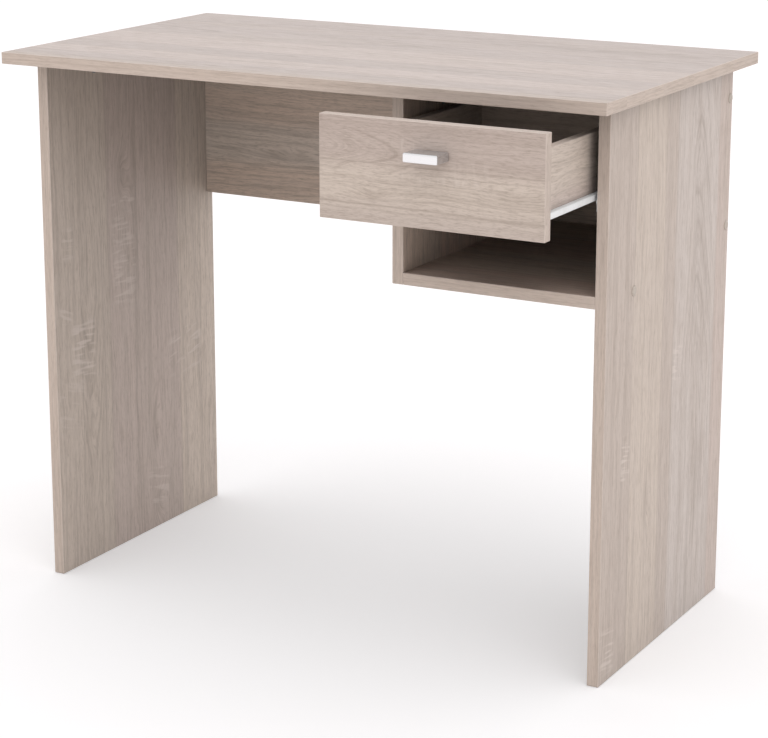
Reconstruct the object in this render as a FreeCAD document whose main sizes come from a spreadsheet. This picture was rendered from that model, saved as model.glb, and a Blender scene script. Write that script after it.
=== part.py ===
import FreeCAD, Part
import os
import Sketcher

# Kneehole desk of faced board: a worktop on two full-height sides, a modesty panel between them at
# the back, and a hanging compartment at the right with one drawer on roller runners.
# Millimetres, with x to the right, y to the back and z up. The origin is on the floor, midway
# between the sides, and midway between the drawn-out pull and the worktop's rear edge.

SIZES = (
    ("top_width", 900, "worktop from left to right"),
    ("top_depth", 507, "worktop from front to back"),
    ("desk_height", 766, "floor to the worktop's upper face"),
    ("board", 16, "thickness of worktop, sides, modesty panel, divider and shelf"),
    ("edge_bevel", 0.6, "bevel of the boards' edges"),
    ("side_overhang", 18.5, "worktop past each side panel"),
    ("front_overhang", 54.5, "worktop past the sides' front edges"),
    ("rear_overhang", 44.5, "worktop past the sides' rear edges"),
    ("apron_height", 252, "modesty panel and compartment below the worktop"),
    ("compartment_width", 302, "compartment over its two outer faces"),
    ("fit", 0.1, "radial room round a fastener in its hole"),
    ("end_room", 0.6, "hole deeper than the fastener in it"),
    ("screw_head_radius", 5, "carcass screw, head"),
    ("screw_head_length", 4, "carcass screw, countersunk length"),
    ("screw_shank_radius", 3.4, "carcass screw, plain shank"),
    ("screw_core_radius", 2.9, "carcass screw, threaded end"),
    ("screw_hold", 34, "carcass screw, length in the second board"),
    ("socket_radius", 2.3, "carcass screw, hexagon socket over its corners"),
    ("socket_depth", 3.5, "carcass screw, depth of the socket"),
    ("screw_upper_drop", 42, "upper carcass screws below the worktop"),
    ("screw_lower_rise", 34, "lower carcass screws above the modesty panel's lower edge"),
    ("shelf_screw_inset", 84, "shelf screws behind the front edge"),
    ("cap_radius", 7, "cover cap"),
    ("cap_height", 1.2, "cover cap, proud of the board"),
    ("cap_edge", 0.5, "cover cap, upright part of its rim"),
    ("cap_bevel", 1.4, "cover cap, width of its sloping rim"),
    ("cap_stem_radius", 1.8, "cover cap, stem in the screw's socket"),
    ("cap_stem_length", 3, "cover cap, length of the stem"),
    ("cam_radius", 7.4, "cam lock"),
    ("cam_cover", 3.4, "wood left behind a cam lock"),
    ("cam_distance", 24, "cam lock's centre from the board's edge"),
    ("cam_inset", 110, "cam locks from the front and rear ends of a board"),
    ("modesty_cam_inset", 160, "modesty panel's cam locks from the sides"),
    ("cross_length", 8, "cross recess of a cam lock"),
    ("cross_width", 1.4, "cross recess, width of an arm"),
    ("cross_depth", 2, "cross recess, depth"),
    ("bolt_cover", 5, "wood left past the end of a cam bolt"),
    ("bolt_thread_radius", 2.5, "cam bolt, threaded end"),
    ("bolt_shank_radius", 3.2, "cam bolt, shank"),
    ("bolt_neck_radius", 2, "cam bolt, neck"),
    ("bolt_head_radius", 3.2, "cam bolt, head"),
    ("bolt_head_length", 4, "cam bolt, length of its head"),
    ("bolt_head_bevel", 0.8, "cam bolt, bevel at the end of its head"),
    ("bolt_room", 0.4, "room for a cam bolt inside its cam lock"),
    ("dowel_radius", 4, "wood dowel"),
    ("dowel_cover", 4, "wood left past the end of a dowel"),
    ("dowel_hold", 18, "dowel's length in a board's edge"),
    ("dowel_bevel", 1, "bevel at a dowel's ends"),
    ("dowel_inset", 46, "dowels from the front and rear ends of a board"),
    ("shelf_dowel_inset", 90, "shelf's dowels from its rear edge"),
    ("front_thickness", 15, "drawer front"),
    ("front_height", 128, "drawer front"),
    ("front_gap", 3, "drawer front below the worktop"),
    ("closed_gap", 1, "drawer front to the compartment's edges when shut"),
    ("runner_overlap", 95, "runners' overlap when the drawer is fully drawn out"),
    ("travel_left", 89, "drawer's travel past the drawn-out pose modelled here"),
    ("box_lift", 12, "drawer box above the front's lower edge"),
    ("box_drop", 30, "drawer sides below the front's upper edge"),
    ("box_board", 12, "thickness of the drawer's sides and back"),
    ("rear_room", 42, "room behind the runners"),
    ("bottom_thickness", 3, "drawer bottom"),
    ("groove_lift", 9, "bottom's groove above the drawer sides' lower edge"),
    ("groove_depth", 6, "bottom's groove, in sides and front"),
    ("groove_play", 0.1, "room round the bottom in its groove"),
    ("back_drop", 6, "drawer back below the sides' upper edges"),
    ("box_cam_radius", 6, "drawer's cam lock"),
    ("box_cam_cover", 2.5, "wood left behind a drawer's cam lock"),
    ("box_cam_distance", 24, "drawer's cam lock from the front"),
    ("box_cam_rise", 46, "drawer's cam lock above the sides' lower edge"),
    ("box_bolt_shank_radius", 2.8, "drawer's cam bolt, shank"),
    ("box_bolt_head_radius", 2.6, "drawer's cam bolt, head"),
    ("box_bolt_neck_radius", 1.6, "drawer's cam bolt, neck"),
    ("box_dowel_radius", 3, "drawer's dowel"),
    ("box_dowel_hold", 15, "drawer's dowel, length in the side"),
    ("box_dowel_rise", 26, "lower dowel above the sides' lower edge"),
    ("box_dowel_drop", 16, "upper dowel below the sides' upper edge"),
    ("back_screw_head_radius", 3.6, "drawer back's screw, head"),
    ("back_screw_head_length", 2, "drawer back's screw, countersunk length"),
    ("back_screw_radius", 1.8, "drawer back's screw, shank"),
    ("back_screw_hold", 26, "drawer back's screw, length in the back"),
    ("back_screw_inset", 18, "drawer back's screws from the back's upper and lower edges"),
    ("pan_head_radius", 3.2, "small screw, head"),
    ("pan_head_height", 1.4, "small screw, height of its head"),
    ("pan_head_bevel", 0.8, "small screw, rounding of its head"),
    ("pan_radius", 1.6, "small screw, shank"),
    ("drive_length", 3.4, "cross recess of a small screw"),
    ("drive_width", 0.8, "small screw's cross recess, width of an arm"),
    ("drive_depth", 1, "small screw's cross recess, depth"),
    ("bottom_screw_hold", 12, "bottom's screws, length in the drawer back"),
    ("bottom_screw_inset", 34, "bottom's outer screws from the drawer sides"),
    ("cabinet_screw_hold", 11, "cabinet member's screws, length in the board"),
    ("cabinet_screw_inset", 50, "cabinet member's screws from its ends"),
    ("member_screw_hold", 7.5, "drawer member's screws, length in the drawer side"),
    ("member_screw_inset", 60, "drawer member's screws from the box's ends"),
    ("handle_width", 46, "pull from left to right"),
    ("handle_height", 11.5, "pull, up and down"),
    ("handle_depth", 31, "pull, out from the drawer front"),
    ("handle_round", 2, "pull, rounded edges"),
    ("handle_drop", 38, "pull's middle below the front's upper edge"),
    ("handle_shift", 3, "pull's middle to the right of the compartment's middle"),
    ("grip_lip", 6, "pull's front lip before its finger groove"),
    ("grip_back", 4, "pull between the finger groove and the screws' ends"),
    ("grip_wall", 6, "pull beside the finger groove"),
    ("grip_height", 5, "finger groove up into the pull"),
    ("handle_pitch", 32, "pull's two screws apart"),
    ("handle_thread", 10, "pull's screws, length in the pull"),
    ("handle_screw_radius", 2, "pull's screws, shank"),
    ("handle_screw_head_radius", 4, "pull's screws, head"),
    ("handle_screw_head_height", 2.4, "pull's screws, height of the head"),
    ("handle_screw_head_bevel", 1, "pull's screws, rounding of the head"),
    ("runner_gap", 12.5, "drawer side to compartment wall"),
    ("steel", 1.2, "runner sheet"),
    ("bend", 0.5, "inner radius of a runner's bends"),
    ("under_flange", 11, "drawer member's flange under the drawer side"),
    ("member_rise", 11, "running flange above the drawer side's lower edge"),
    ("lip_height", 7.5, "running flange's turned-down lip"),
    ("member_inset", 1, "drawer member behind the drawer front"),
    ("upper_flange", 8, "cabinet member's upper flange"),
    ("flange_side_gap", 1.8, "cabinet member's lower flange to the drawer member"),
    ("flange_clearance", 1.6, "cabinet member's upper flange above the running flange"),
    ("cabinet_setback", 2, "cabinet member behind the front edge"),
    ("flange_start", 42, "cabinet member's flanges behind its front end"),
    ("roller_radius", 9.2, "roller"),
    ("roller_width", 5, "roller"),
    ("roller_bevel", 0.6, "roller's rims"),
    ("roller_tyre", 1.8, "roller's tyre round its dished face"),
    ("roller_dish", 1, "depth of the roller's dished face"),
    ("roller_hub_radius", 4.2, "roller's hub inside its dished face"),
    ("cabinet_roller_inset", 27, "cabinet roller's axle from its member's front end"),
    ("drawer_roller_inset", 14, "drawer roller's axle from the box's rear"),
    ("roller_side_gap", 0.6, "roller to the web and lip beside it"),
    ("track_gap", 0.2, "roller to the flange that it runs on"),
    ("rivet_radius", 1.8, "roller's axle rivet"),
    ("rivet_head_radius", 2.6, "axle rivet's head, sunk in the roller"),
    ("rivet_head_height", 0.8, "axle rivet's head"),
    ("rivet_collar_radius", 2.5, "axle rivet's collar between web and roller"),
    ("running_play", 0.05, "radial play of a roller on its axle"),
    ("recess_room", 0.3, "room round the axle's head in the roller"),
    ("stop_width", 5.8, "stop lug out from the cabinet member's web"),
    ("stop_height", 7, "stop lug, up and down"),
    ("stop_thickness", 1.6, "stop lug along the runner"),
    ("stop_gap", 0.3, "roller to the stop lug when fully drawn out"),
)

PLACES = (
    ("under_top", "=Sizes.desk_height - Sizes.board", "worktop's lower face"),
    ("side_depth", "=Sizes.top_depth - Sizes.front_overhang - Sizes.rear_overhang", "side panels"),
    ("right_out", "=Sizes.top_width / 2 - Sizes.side_overhang", "right panel's outer face"),
    ("right_in", "=right_out - Sizes.board", "right panel's inner face"),
    ("hanging_depth", "=side_depth - Sizes.board", "divider and shelf from front to back"),
    ("runner_length", "=hanging_depth - Sizes.rear_room", "runners and drawer sides"),
    ("drawer_open", "=runner_length - Sizes.runner_overlap - Sizes.travel_left",
     "drawer drawn out from shut"),
    ("drawn_depth", "=drawer_open + Sizes.closed_gap + Sizes.front_thickness + Sizes.handle_depth",
     "pull's front face before the sides' front edges"),
    ("front_edge", "=(drawn_depth - side_depth - Sizes.rear_overhang) / 2", "sides' front edges"),
    ("rear_edge", "=front_edge + side_depth", "sides' rear edges"),
    ("modesty_front", "=rear_edge - Sizes.board", "modesty panel's front face"),
    ("modesty_mid", "=rear_edge - Sizes.board / 2", "middle of the modesty panel's thickness"),
    ("apron_bottom", "=under_top - Sizes.apron_height", "lower edge of modesty panel and compartment"),
    ("shelf_mid", "=apron_bottom + Sizes.board / 2", "middle of the shelf's thickness"),
    ("divider_out", "=right_out - Sizes.compartment_width", "divider's outer face"),
    ("divider_in", "=divider_out + Sizes.board", "divider's inner face"),
    ("divider_mid", "=divider_out + Sizes.board / 2", "middle of the divider's thickness"),
    ("opening_width", "=right_in - divider_in", "compartment between its walls"),
    ("opening_mid", "=(right_in + divider_in) / 2", "compartment's middle"),
    ("upper_screw_z", "=under_top - Sizes.screw_upper_drop", "upper carcass screws"),
    ("lower_screw_z", "=apron_bottom + Sizes.screw_lower_rise", "lower carcass screws"),
    ("cam_z", "=under_top - Sizes.cam_distance", "cam locks below the worktop"),
    ("shelf_screw_y", "=front_edge + Sizes.shelf_screw_inset", "shelf's screws"),
    ("shelf_dowel_y", "=modesty_front - Sizes.shelf_dowel_inset", "shelf's dowels"),
    ("front_top", "=under_top - Sizes.front_gap", "drawer front's upper edge"),
    ("front_bottom", "=front_top - Sizes.front_height", "drawer front's lower edge"),
    ("front_rear", "=front_edge - Sizes.closed_gap - drawer_open", "drawer front's rear face"),
    ("front_face", "=front_rear - Sizes.front_thickness", "drawer front's outer face"),
    ("box_bottom", "=front_bottom + Sizes.box_lift", "drawer sides' lower edges"),
    ("box_height", "=Sizes.front_height - Sizes.box_lift - Sizes.box_drop", "drawer sides"),
    ("box_top", "=box_bottom + box_height", "drawer sides' upper edges"),
    ("box_rear", "=front_rear + runner_length", "drawer box's rear"),
    ("back_mid", "=box_rear - Sizes.box_board / 2", "middle of the drawer back's thickness"),
    ("box_right", "=right_in - Sizes.runner_gap", "drawer's right side, outer face"),
    ("box_right_in", "=box_right - Sizes.box_board", "drawer's right side, inner face"),
    ("box_right_mid", "=box_right - Sizes.box_board / 2", "middle of the right side's thickness"),
    ("box_left", "=divider_in + Sizes.runner_gap", "drawer's left side, outer face"),
    ("box_left_in", "=box_left + Sizes.box_board", "drawer's left side, inner face"),
    ("inside_width", "=box_right_in - box_left_in", "drawer between its sides"),
    ("bottom_z", "=box_bottom + Sizes.groove_lift", "drawer bottom's lower face"),
    ("back_bottom", "=bottom_z + Sizes.bottom_thickness", "drawer back's lower edge"),
    ("back_height", "=box_top - Sizes.back_drop - back_bottom", "drawer back"),
    ("bottom_reach", "=Sizes.groove_depth - Sizes.end_room", "drawer bottom in its grooves"),
    ("handle_z", "=front_top - Sizes.handle_drop", "pull's middle above the floor"),
    ("handle_mid", "=opening_mid + Sizes.handle_shift", "pull's middle"),
    ("handle_bottom", "=handle_z - Sizes.handle_height / 2", "pull's lower face"),
    ("handle_front", "=front_face - Sizes.handle_depth", "pull's front face"),
    ("grip_width", "=Sizes.handle_width - 2 * Sizes.grip_wall", "finger groove from left to right"),
    ("grip_reach", "=Sizes.handle_depth - Sizes.handle_thread - Sizes.grip_lip - Sizes.grip_back",
     "finger groove from front to back"),
    ("running_width", "=2 * (Sizes.steel + Sizes.roller_side_gap) + Sizes.roller_width",
     "running flange out from the drawer side"),
    ("roller_z", "=box_bottom + Sizes.member_rise - Sizes.steel - Sizes.track_gap - Sizes.roller_radius",
     "rollers' axles"),
    ("track_z", "=roller_z - Sizes.roller_radius - Sizes.track_gap - box_bottom",
     "cabinet member's track above the drawer side's lower edge"),
    ("ceiling_z", "=Sizes.member_rise + Sizes.flange_clearance",
     "cabinet member's upper flange above the drawer side's lower edge"),
    ("web_x", "=right_in - Sizes.steel", "cabinet member's web"),
    ("roller_x", "=box_right + Sizes.steel + Sizes.roller_side_gap", "roller's inner face"),
    ("cabinet_front", "=front_edge + Sizes.cabinet_setback", "cabinet member's front end"),
    ("front_roller_y", "=cabinet_front + Sizes.cabinet_roller_inset", "cabinet roller's axle"),
    ("rear_roller_y", "=box_rear - Sizes.drawer_roller_inset", "drawer roller's axle"),
    ("open_roller_y", "=rear_roller_y - Sizes.travel_left", "drawer roller's axle when fully drawn out"),
    ("stop_y", "=open_roller_y - Sizes.roller_radius - Sizes.stop_gap", "stop lug's rear face"),
)

Vector = FreeCAD.Vector
Rotation = FreeCAD.Rotation
ORIGIN = ("0", "0", "0")
AXES = {
    "+x": Vector(1, 0, 0),
    "-x": Vector(-1, 0, 0),
    "+y": Vector(0, 1, 0),
    "-y": Vector(0, -1, 0),
    "+z": Vector(0, 0, 1),
    "-z": Vector(0, 0, -1),
}

doc = FreeCAD.newDocument("kneehole_desk")


def fill_sheet(name, rows):
    sheet = doc.addObject("Spreadsheet::Sheet", name)
    for row, (alias, content, meaning) in enumerate(rows, start=1):
        sheet.set(f"A{row}", meaning)
        sheet.set(f"B{row}", str(content))
        sheet.setAlias(f"B{row}", alias)
    doc.recompute()
    return sheet


def bind(thing, expressions):
    for name, expression in expressions.items():
        thing.setExpression(name, expression)
    return thing


def seat(thing, spot, rotation=None):
    if rotation:
        thing.Placement = FreeCAD.Placement(Vector(), rotation)
    for axis, expression in zip("xyz", spot):
        thing.setExpression(f"Placement.Base.{axis}", expression)
    return thing


def turn(into, towards="+z"):
    # local z points into the board and local x towards the board's edge
    if AXES[into].cross(AXES[towards]).Length == 0:
        towards = "+x"
    depth = AXES[into]
    side = AXES[towards]
    return Rotation(side, depth.cross(side), depth, "ZXY")


def block(name, size, spot):
    thing = doc.addObject("Part::Box", name)
    bind(thing, dict(zip(("Length", "Width", "Height"), size)))
    return seat(thing, spot)


def joined(name, pieces):
    if len(pieces) == 1:
        return pieces[0]
    thing = doc.addObject("Part::MultiFuse", name)
    thing.Shapes = pieces
    return thing


def cut(name, base, cutters):
    thing = doc.addObject("Part::Cut", name)
    thing.Base = base
    thing.Tool = joined(f"{name}_cutters", cutters)
    return thing


def copy(name, master, spot, rotation):
    thing = doc.addObject("App::Link", name)
    thing.LinkedObject = master
    return seat(thing, spot, rotation)


def group(name, members):
    thing = doc.addObject("Part::Compound", name)
    thing.Links = members
    return thing


def mirrored(name, source):
    # the drawer and its runners are alike on both sides of the compartment's middle
    thing = doc.addObject("Part::Mirroring", name)
    thing.Source = group(f"{name}_source", [source])
    thing.Normal = AXES["+x"]
    return bind(thing, {"Base.x": "Places.opening_mid"})


def outline(body, plane_role, points):
    # closed outline whose corners are all set by expressions, as (across, up) pairs
    sketch = body.newObject("Sketcher::SketchObject", f"{body.Name}_outline")
    plane = [item for item in body.Origin.OriginFeatures if item.Role == plane_role][0]
    sketch.AttachmentSupport = [(plane, "")]
    sketch.MapMode = "FlatFace"
    count = len(points)
    first_guess = [Rotation(AXES["+z"], 360 * corner / count).multVec(AXES["+x"]) for corner in range(count)]
    for corner in range(count):
        sketch.addGeometry(Part.LineSegment(first_guess[corner], first_guess[(corner + 1) % count]), False)
    for corner in range(count):
        sketch.addConstraint(Sketcher.Constraint("Coincident", corner, 2, (corner + 1) % count, 1))
    for corner, (across, up) in enumerate(points):
        guess = first_guess[corner]
        for kind, distance, expression in (("DistanceX", guess.x, across), ("DistanceY", guess.y, up)):
            number = sketch.addConstraint(Sketcher.Constraint(kind, -1, 1, corner, 1, distance))
            sketch.setExpression(f"Constraints[{number}]", expression)
    return sketch


def turned(name, profile):
    # solid of revolution about local z, from (radius, height) corners
    body = doc.addObject("PartDesign::Body", name)
    sketch = outline(body, "XZ_Plane", profile)
    feature = body.newObject("PartDesign::Revolution", f"{name}_turn")
    feature.Profile = sketch
    feature.ReferenceAxis = (sketch, ["V_Axis"])
    feature.Angle = 360
    return body


BEVELLED = ("PartDesign::Chamfer", "Size", "Sizes.edge_bevel")
ROUNDED = ("PartDesign::Fillet", "Radius", "Sizes.handle_round")
SQUARE = None


def board(name, size, spot, finish=BEVELLED):
    length, width, height = size
    body = doc.addObject("PartDesign::Body", f"{name}_board")
    corners = (("0", "0"), (length, "0"), (length, width), ("0", width))
    pad = body.newObject("PartDesign::Pad", f"{name}_pad")
    pad.Profile = outline(body, "XY_Plane", corners)
    bind(pad, {"Length": height})
    if finish:
        kind, measure, amount = finish
        doc.recompute()
        edges = body.newObject(kind, f"{name}_edges")
        edges.Base = (pad, [""])
        edges.UseAllEdges = True
        bind(edges, {measure: amount})
    return seat(body, spot)


def rolled(name, section, inner_corners, outer_corners, length, spot):
    # sheet profile along y, with its bends rounded on both faces
    body = doc.addObject("PartDesign::Body", name)
    sketch = outline(body, "XZ_Plane", section)
    pad = body.newObject("PartDesign::Pad", f"{name}_pad")
    pad.Profile = sketch
    pad.Reversed = True
    bind(pad, {"Length": length})
    doc.recompute()
    feature = pad
    for kind, corners, radius in (
        ("inner", inner_corners, "Sizes.bend"),
        ("outer", outer_corners, "Sizes.bend + Sizes.steel"),
    ):
        wanted = [sketch.Geometry[corner].StartPoint for corner in corners]
        names = bend_edges(feature.Shape, wanted)
        feature_before = feature
        feature = body.newObject("PartDesign::Fillet", f"{name}_{kind}_bends")
        feature.Base = (feature_before, names)
        bind(feature, {"Radius": radius})
        doc.recompute()
    return seat(body, spot)


def bend_edges(shape, corners):
    near = 1e-4
    names = []
    for number, edge in enumerate(shape.Edges, start=1):
        ends = [vertex.Point for vertex in edge.Vertexes]
        for corner in corners:
            if all(abs(end.x - corner.x) < near and abs(end.z - corner.y) < near for end in ends):
                names.append(f"Edge{number}")
    return names


fill_sheet("Sizes", SIZES)
fill_sheet("Places", PLACES)

nodes = {}
cutters = {}


def fasten(node, master, bore, spots):
    # one copy of the fastener at each spot, and its hole in every piece that it passes through
    members = []
    for number, (spot, rotation, pieces) in enumerate(spots, start=1):
        members.append(copy(f"{node}_{number}", master, spot, rotation))
        if bore:
            hole = copy(f"{node}_hole_{number}", bore, spot, rotation)
            for piece in pieces:
                cutters.setdefault(piece, []).append(hole)
    nodes[node] = group(node, members)


# Carcass screws: countersunk, with a hexagon socket that also holds the cover cap's stem

def carcass_screw(name, room, over):
    return turned(name, (
        ("0", "0"),
        (f"Sizes.screw_head_radius + {room}", "0"),
        (f"Sizes.screw_shank_radius + {room}", "Sizes.screw_head_length"),
        (f"Sizes.screw_shank_radius + {room}", "Sizes.board"),
        (f"Sizes.screw_core_radius + {room}", "Sizes.board"),
        (f"Sizes.screw_core_radius + {room}", f"Sizes.board + Sizes.screw_hold + {over}"),
        ("0", f"Sizes.board + Sizes.screw_hold + {over}"),
    ))


socket = doc.addObject("Part::Prism", "hexagon_socket")
socket.Polygon = 6
bind(socket, {"Circumradius": "Sizes.socket_radius", "Height": "Sizes.socket_depth"})
screw = cut("carcass_screw", carcass_screw("carcass_screw_turned", "0", "0"), [socket])
screw_bore = carcass_screw("carcass_screw_bore", "Sizes.fit", "Sizes.end_room")
cap = turned("cover_cap", (
    ("0", "-Sizes.cap_height"),
    ("Sizes.cap_radius - Sizes.cap_bevel", "-Sizes.cap_height"),
    ("Sizes.cap_radius", "-Sizes.cap_edge"),
    ("Sizes.cap_radius", "0"),
    ("Sizes.cap_stem_radius", "0"),
    ("Sizes.cap_stem_radius", "Sizes.cap_stem_length"),
    ("0", "Sizes.cap_stem_length"),
))

screw_spots = []
for outer_face, into, side_panel in (
    ("-Places.right_out", "+x", "left_side_panel"),
    ("Places.right_out", "-x", "right_side_panel"),
):
    for height in ("Places.upper_screw_z", "Places.lower_screw_z"):
        spot = (outer_face, "Places.modesty_mid", height)
        screw_spots.append((spot, turn(into), (side_panel, "modesty_panel")))
for outer_face, into, wall in (
    ("Places.divider_out", "+x", "compartment_divider"),
    ("Places.right_out", "-x", "right_side_panel"),
):
    spot = (outer_face, "Places.shelf_screw_y", "Places.shelf_mid")
    screw_spots.append((spot, turn(into), (wall, "compartment_shelf")))
for across, height, piece in (
    ("Places.divider_mid", "Places.upper_screw_z", "compartment_divider"),
    ("Places.divider_mid", "Places.lower_screw_z", "compartment_divider"),
    ("Places.opening_mid", "Places.shelf_mid", "compartment_shelf"),
):
    spot = (across, "Places.rear_edge", height)
    screw_spots.append((spot, turn("-y"), ("modesty_panel", piece)))
fasten("carcass_screws", screw, screw_bore, screw_spots)
fasten("cover_caps", cap, None, screw_spots)


def cross_recess(name, length, width, depth, start):
    # two crossed bars, sunk along z from the face at the height named start
    return [
        block(f"{name}_arm_across", (length, width, depth), (f"-{length} / 2", f"-{width} / 2", start)),
        block(f"{name}_arm_along", (width, length, depth), (f"-{width} / 2", f"-{length} / 2", start)),
    ]


def drive_recess(name, start):
    return cross_recess(name, "Sizes.drive_length", "Sizes.drive_width", "Sizes.drive_depth", start)


# Cam locks and their bolts, which draw one board's edge against another board's face

def cam_lock(name, radius, length, bolt_depth, neck_radius, head_radius):
    body = doc.addObject("Part::Cylinder", f"{name}_body")
    bind(body, {"Radius": radius, "Height": length})
    head_half = "Sizes.bolt_head_length / 2 + Sizes.bolt_room"
    openings = []
    for part, start, reach, half_width in (
        ("slot", "0", f"{radius} + Sizes.bolt_room", f"{neck_radius} + Sizes.bolt_room"),
        ("pocket", f"-({head_half})", f"2 * ({head_half})", f"{head_radius} + Sizes.bolt_room"),
    ):
        openings.append(block(
            f"{name}_{part}",
            (reach, f"2 * ({half_width})", f"2 * ({half_width})"),
            (start, f"-({half_width})", f"{bolt_depth} - ({half_width})"),
        ))
    recess = cross_recess(name, "Sizes.cross_length", "Sizes.cross_width", "Sizes.cross_depth", "0")
    return cut(name, body, openings + recess)


def cam_bolt(name, anchor, distance, lock_radius, shank_radius, neck_radius, head_radius):
    # z is 0 where the two boards meet, and rises past the lock's centre
    shank_end = f"{distance} - {lock_radius} - Sizes.bolt_room"
    head_start = f"{distance} - Sizes.bolt_head_length / 2"
    head_end = f"{distance} + Sizes.bolt_head_length / 2"
    return turned(name, (
        ("0", f"Sizes.bolt_cover - {anchor}"),
        ("Sizes.bolt_thread_radius", f"Sizes.bolt_cover - {anchor}"),
        ("Sizes.bolt_thread_radius", "0"),
        (shank_radius, "0"),
        (shank_radius, shank_end),
        (neck_radius, shank_end),
        (neck_radius, head_start),
        (head_radius, head_start),
        (head_radius, f"{head_end} - Sizes.bolt_head_bevel"),
        (f"{head_radius} - Sizes.bolt_head_bevel", head_end),
        ("0", head_end),
    ))


def cam_bolt_bore(name, anchor, distance, shank_radius):
    return turned(name, (
        ("0", f"Sizes.bolt_cover - {anchor} - Sizes.end_room"),
        ("Sizes.bolt_thread_radius + Sizes.fit", f"Sizes.bolt_cover - {anchor} - Sizes.end_room"),
        ("Sizes.bolt_thread_radius + Sizes.fit", "0"),
        (f"{shank_radius} + Sizes.fit", "0"),
        (f"{shank_radius} + Sizes.fit", distance),
        ("0", distance),
    ))


def cam_lock_bore(name, radius, length):
    bore = doc.addObject("Part::Cylinder", name)
    return bind(bore, {"Radius": f"{radius} + Sizes.fit", "Height": f"{length} + Sizes.fit"})


cam_length = "(Sizes.board - Sizes.cam_cover)"
lock = cam_lock("cam_lock", "Sizes.cam_radius", cam_length, "Sizes.board / 2",
                "Sizes.bolt_neck_radius", "Sizes.bolt_head_radius")
lock_bore = cam_lock_bore("cam_lock_bore", "Sizes.cam_radius", cam_length)
bolt = cam_bolt("cam_bolt", "Sizes.board", "Sizes.cam_distance", "Sizes.cam_radius",
                "Sizes.bolt_shank_radius", "Sizes.bolt_neck_radius", "Sizes.bolt_head_radius")
bolt_bore = cam_bolt_bore("cam_bolt_bore", "Sizes.board", "Sizes.cam_distance", "Sizes.bolt_shank_radius")

front_cams = "Places.front_edge + Sizes.cam_inset"
upright_boards = (
    ("left_side_panel", "-Places.right_in", "-Places.right_in - Sizes.board / 2", "-x", "Places.rear_edge"),
    ("right_side_panel", "Places.right_in", "Places.right_in + Sizes.board / 2", "+x", "Places.rear_edge"),
    ("compartment_divider", "Places.divider_in", "Places.divider_mid", "-x", "Places.modesty_front"),
)
lock_spots = []
bolt_spots = []
for upright, inner_face, middle, into, rear_end in upright_boards:
    for along in (front_cams, f"{rear_end} - Sizes.cam_inset"):
        lock_spots.append(((inner_face, along, "Places.cam_z"), turn(into), (upright,)))
        bolt_spots.append(((middle, along, "Places.under_top"), turn("-z"), (upright, "top_panel")))
for across in ("Sizes.modesty_cam_inset - Places.right_in", "Places.right_in - Sizes.modesty_cam_inset"):
    lock_spots.append(((across, "Places.rear_edge", "Places.cam_z"), turn("-y"), ("modesty_panel",)))
    middle_spot = (across, "Places.modesty_mid", "Places.under_top")
    bolt_spots.append((middle_spot, turn("-z"), ("modesty_panel", "top_panel")))
fasten("cam_locks", lock, lock_bore, lock_spots)
fasten("cam_bolts", bolt, bolt_bore, bolt_spots)


# Wood dowels, which keep the boards in line

def dowel_and_bore(name, radius, anchor, hold):
    shallow = f"Sizes.dowel_cover - {anchor}"
    piece = turned(name, (
        ("0", shallow),
        (f"{radius} - Sizes.dowel_bevel", shallow),
        (radius, f"{shallow} + Sizes.dowel_bevel"),
        (radius, f"{hold} - Sizes.dowel_bevel"),
        (f"{radius} - Sizes.dowel_bevel", hold),
        ("0", hold),
    ))
    bore = turned(f"{name}_bore", (
        ("0", f"{shallow} - Sizes.end_room"),
        (f"{radius} + Sizes.fit", f"{shallow} - Sizes.end_room"),
        (f"{radius} + Sizes.fit", f"{hold} + Sizes.end_room"),
        ("0", f"{hold} + Sizes.end_room"),
    ))
    return piece, bore


peg, peg_bore = dowel_and_bore("dowel", "Sizes.dowel_radius", "Sizes.board", "Sizes.dowel_hold")
peg_spots = []
for upright, inner_face, middle, into, rear_end in upright_boards:
    for along in ("Places.front_edge + Sizes.dowel_inset", f"{rear_end} - Sizes.dowel_inset"):
        peg_spots.append(((middle, along, "Places.under_top"), turn("-z"), (upright, "top_panel")))
for wall_face, into, wall in (
    ("Places.divider_in", "+x", "compartment_divider"),
    ("Places.right_in", "-x", "right_side_panel"),
):
    spot = (wall_face, "Places.shelf_dowel_y", "Places.shelf_mid")
    peg_spots.append((spot, turn(into), (wall, "compartment_shelf")))
fasten("wood_dowels", peg, peg_bore, peg_spots)


# Small pan-headed screws, for the runners, the drawer bottom and the pull

def pan_screw(name, head_radius, head_height, head_bevel, radius, length):
    blank = turned(f"{name}_turned", (
        ("0", f"-{head_height}"),
        (f"{head_radius} - {head_bevel}", f"-{head_height}"),
        (head_radius, f"{head_bevel} - {head_height}"),
        (head_radius, "0"),
        (radius, "0"),
        (radius, length),
        ("0", length),
    ))
    return cut(name, blank, drive_recess(name, f"-{head_height}"))


def pan_bore(name, radius, length):
    bore = doc.addObject("Part::Cylinder", name)
    return bind(bore, {"Radius": f"{radius} + Sizes.fit", "Height": f"{length} + Sizes.end_room"})


def small_screw_and_bore(name, length):
    piece = pan_screw(name, "Sizes.pan_head_radius", "Sizes.pan_head_height", "Sizes.pan_head_bevel",
                      "Sizes.pan_radius", length)
    return piece, pan_bore(f"{name}_bore", "Sizes.pan_radius", length)


# Roller runners. Both members of the right-hand pair are rolled sheet; their sections are drawn out
# from the drawer side's lower outer edge, and the left-hand pair mirrors them.

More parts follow.
